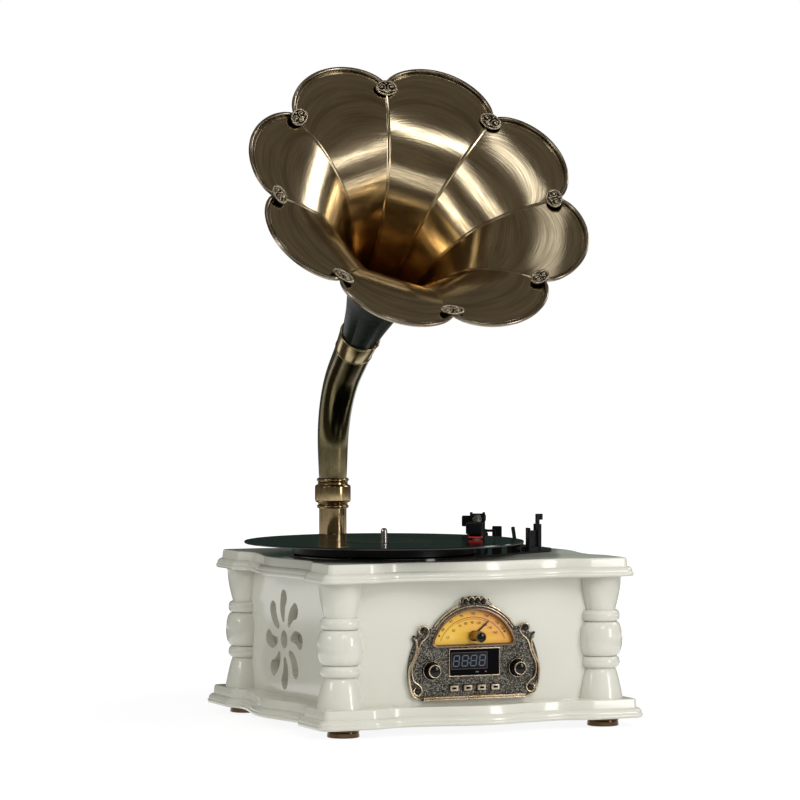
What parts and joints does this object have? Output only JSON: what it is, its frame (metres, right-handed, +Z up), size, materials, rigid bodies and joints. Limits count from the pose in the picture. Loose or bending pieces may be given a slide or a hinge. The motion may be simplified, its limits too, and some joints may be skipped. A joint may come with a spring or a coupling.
{
  "type": "horn record player",
  "caption": "Record player on a cream turned-column cabinet, with a swivelling petal horn in brass, a fretwork side and a radio panel.",
  "frame": {"origin": "on the floor, midway between the four columns", "axes": "+Z up along the spindle, -Y out of the radio panel, +X to the right of someone facing it"},
  "size_m": [0.4304, 0.4266, 0.7057],
  "materials": {
    "cream_lacquer": "gloss lacquer over wood",
    "dark_brass": "antique polished",
    "horn_brass": "brushed antique",
    "speaker_cloth": "woven",
    "speaker_metal": "black paint",
    "deck_black": "gloss",
    "bearing_brass": "turned",
    "steel": "satin",
    "platter_aluminium": "dark satin",
    "rubber": "matte",
    "vinyl": "grooved gloss",
    "arm_black": "satin gloss",
    "stylus_red": "gloss",
    "pewter": "antiqued casting",
    "dial_amber": "printed",
    "pointer_black": "matte",
    "display_black": "gloss",
    "trim_brass": "satin",
    "knob_black": "gloss",
    "socket_black": "moulded",
    "circuit_green": "matte"
  },
  "bodies": {
    "cabinet": {"base_board": "cream_lacquer", "top_board": "cream_lacquer", "front_left_column": "cream_lacquer", "front_right_column": "cream_lacquer", "rear_left_column": "cream_lacquer", "rear_right_column": "cream_lacquer", "feet": "dark_brass", "front_panel": "cream_lacquer", "left_panel": "cream_lacquer", "right_panel": "cream_lacquer", "rear_panel": "cream_lacquer", "rear_sockets": "socket_black", "left_cloth": "speaker_cloth", "right_cloth": "speaker_cloth", "left_speaker": "speaker_metal", "right_speaker": "speaker_metal", "deck_plate": "deck_black", "bearing": "bearing_brass", "drive_motor": "steel", "drive_belt": "rubber", "arm_base": "arm_black", "arm_rest": "arm_black", "cue_block": "arm_black", "horn_socket": "dark_brass", "horn_pipe": "dark_brass", "faceplate": "pewter", "dial_plate": "dial_amber", "display_bezel": "trim_brass", "display_window": "display_black", "circuit_board": "circuit_green", "controls": "steel"},
    "turntable": {"spindle": "steel", "platter": "platter_aluminium", "mat": "rubber", "record": "vinyl"},
    "pulley": {"motor_pulley": "bearing_brass"},
    "arm_pivot": {"arm_yoke": "arm_black"},
    "tonearm": {"arm_tube": "steel", "counterweight": "arm_black", "headshell": "arm_black", "cartridge": "arm_black", "stylus": "stylus_red"},
    "arm_clip": {"rest_clip": "arm_black"},
    "cue": {"cue_lever": "arm_black"},
    "speed": {"speed_switch": "arm_black"},
    "horn": {"pipe_collar": "dark_brass", "horn_elbow": "dark_brass", "horn_collar": "dark_brass", "horn_bell": "horn_brass", "horn_rim": "dark_brass", "horn_badges": "dark_brass"},
    "tuning": {"tuning_knob": "knob_black", "dial_pointer": "pointer_black"},
    "left_dial": {"left_knob": "knob_black"},
    "right_dial": {"right_knob": "knob_black"},
    "key_1": {"button_1": "trim_brass"},
    "key_2": {"button_2": "trim_brass"},
    "key_3": {"button_3": "trim_brass"},
    "key_4": {"button_4": "trim_brass"}
  },
  "joints": [
    {"name": "record_turn", "type": "hinge", "parent": "cabinet", "child": "turntable", "pos_m": [-0.0565, -0.03, 0.197], "axis": [0, 0, 1], "continuous": true},
    {"name": "pulley_turn", "type": "hinge", "parent": "cabinet", "child": "pulley", "pos_m": [-0.11088, -0.05536, 0.1825], "axis": [0, 0, 1], "continuous": true},
    {"name": "arm_swing", "type": "hinge", "parent": "cabinet", "child": "arm_pivot", "pos_m": [0.116, 0.106, 0.2105], "axis": [0, 0, 1], "range_deg": [-15, 28.5]},
    {"name": "arm_lift", "type": "hinge", "parent": "arm_pivot", "child": "tonearm", "pos_m": [0.116, 0.106, 0.2105], "axis": [-0.9048, 0.4258, 0], "range_deg": [0, 8]},
    {"name": "clip_fold", "type": "hinge", "parent": "cabinet", "child": "arm_clip", "pos_m": [0.1315, -0.019, 0.2081], "axis": [0, 1, 0], "range_deg": [0, 60]},
    {"name": "cue_raise", "type": "hinge", "parent": "cabinet", "child": "cue", "pos_m": [0.121, 0.016, 0.1875], "axis": [1, 0, 0], "range_deg": [-45, 0]},
    {"name": "speed_slide", "type": "slide", "parent": "cabinet", "child": "speed", "axis": [1, 0, 0], "range_m": [-0.006, 0.006]},
    {"name": "horn_swivel", "type": "hinge", "parent": "cabinet", "child": "horn", "pos_m": [-0.047, 0.139, 0.24], "axis": [0, 0, 1], "range_deg": [-60, 60]},
    {"name": "tuning_turn", "type": "hinge", "parent": "cabinet", "child": "tuning", "pos_m": [0, -0.1401, 0.1005], "axis": [0, -1, 0], "range_deg": [-30, 130]},
    {"name": "left_knob_turn", "type": "hinge", "parent": "cabinet", "child": "left_dial", "pos_m": [-0.0495, -0.1401, 0.0655], "axis": [0, -1, 0], "range_deg": [-150, 150]},
    {"name": "right_knob_turn", "type": "hinge", "parent": "cabinet", "child": "right_dial", "pos_m": [0.0495, -0.1401, 0.0655], "axis": [0, -1, 0], "range_deg": [-90, 90]},
    {"name": "button_1_press", "type": "slide", "parent": "cabinet", "child": "key_1", "axis": [0, 1, 0], "range_m": [0, 0.0015], "stiffness_N_per_m": 400},
    {"name": "button_2_press", "type": "slide", "parent": "cabinet", "child": "key_2", "axis": [0, 1, 0], "range_m": [0, 0.0015], "stiffness_N_per_m": 400},
    {"name": "button_3_press", "type": "slide", "parent": "cabinet", "child": "key_3", "axis": [0, 1, 0], "range_m": [0, 0.0015], "stiffness_N_per_m": 400},
    {"name": "button_4_press", "type": "slide", "parent": "cabinet", "child": "key_4", "axis": [0, 1, 0], "range_m": [0, 0.0015], "stiffness_N_per_m": 400}
  ],
  "couplings": [
    {"joint": "pulley_turn", "follows": "record_turn", "ratio": 7.8333}
  ]
}
